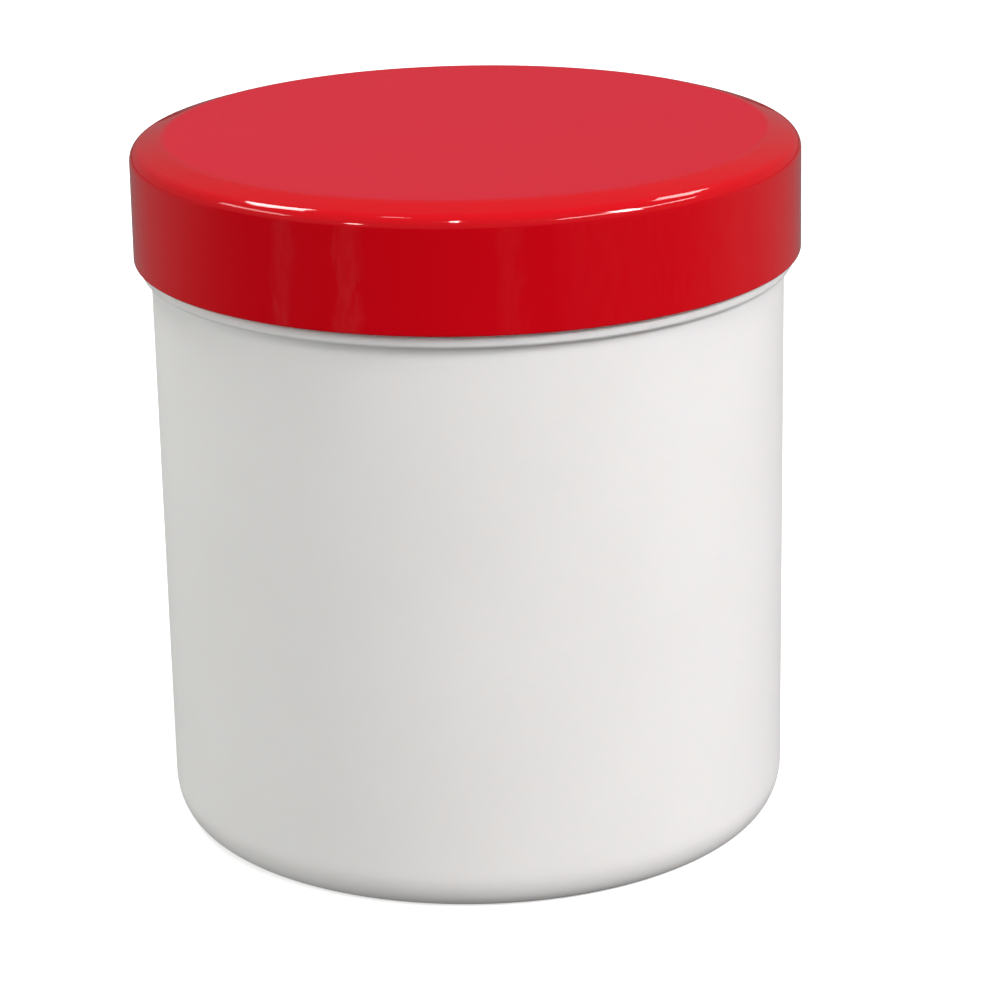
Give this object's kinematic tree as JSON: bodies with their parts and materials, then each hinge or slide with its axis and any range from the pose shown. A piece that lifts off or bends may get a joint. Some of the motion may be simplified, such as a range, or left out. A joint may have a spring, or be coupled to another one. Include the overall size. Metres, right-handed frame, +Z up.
{
  "type": "screw-top paint jar",
  "caption": "Round white plastic paint jar with a straight wall, a rounded heel and a red screw lid; the lid unscrews and lifts clear.",
  "frame": {"origin": "centre of the foot, on the surface that the jar stands on", "axes": "+Z up along the jar's axis, through the lid; X and Y are equivalent, and the threads start on +X"},
  "size_m": [0.092, 0.092, 0.0975],
  "materials": {
    "jar_plastic": "satin white moulding",
    "lid_plastic": "glossy red rim and skirt, finely matted panel",
    "liner_foam": "off-white foam with a smooth film face"
  },
  "bodies": {
    "jar": {"jar_body": "jar_plastic"},
    "liner": {"lid_liner": "liner_foam"},
    "lid": {"screw_lid": "lid_plastic"}
  },
  "joints": [
    {"name": "lid_lift", "type": "slide", "parent": "jar", "child": "liner", "axis": [0, 0, 1], "range_m": [0, 0.0241]},
    {"name": "lid_turn", "type": "hinge", "parent": "liner", "child": "lid", "pos_m": [0, 0, 0.0955], "axis": [0, 0, 1], "range_deg": [0, 1440]}
  ],
  "couplings": [
    {"joint": "lid_lift", "follows": "lid_turn", "m_per_rad": 0.00095493}
  ]
}
